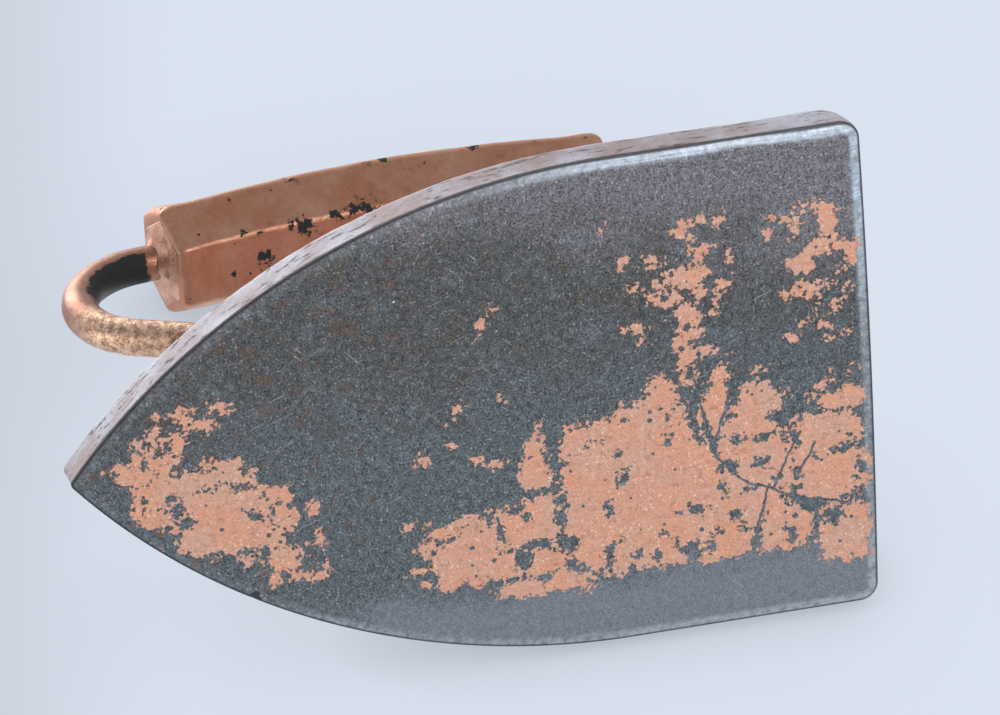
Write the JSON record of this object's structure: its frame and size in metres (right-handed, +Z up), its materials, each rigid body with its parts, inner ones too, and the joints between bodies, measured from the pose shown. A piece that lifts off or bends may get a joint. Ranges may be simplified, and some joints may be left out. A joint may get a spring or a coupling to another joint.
{
  "type": "sad iron",
  "caption": "Solid cast-iron sad iron with a pointed nose, a bent round-bar handle and a hollow arched six-sided grip, heated on a stove for pressing cloth.",
  "frame": {"origin": "middle of the base's length and width, at the sole", "axes": "+Z up from the sole to the handle, -Y towards the pointed nose, +Y towards the straight heel, X across"},
  "size_m": [0.11, 0.1652, 0.1086],
  "materials": {
    "base_iron": "cast iron, copper flashed, most of the copper worn from the sole to dark iron with loose patches left",
    "bar_copper": "round iron bar, copper plated, satin, bright where rubbed",
    "grip_copper": "thin hollow iron grip, copper plated, satin, darker in the hollows, a few chips to black",
    "plug_copper": "lumpy cast filling of the grip's ends, copper flashed, dull"
  },
  "bodies": {
    "root": {"base_casting": "base_iron", "handle_bar": "bar_copper", "grip_sleeve": "grip_copper", "front_end_plug": "plug_copper", "rear_end_plug": "plug_copper"}
  },
  "joints": []
}
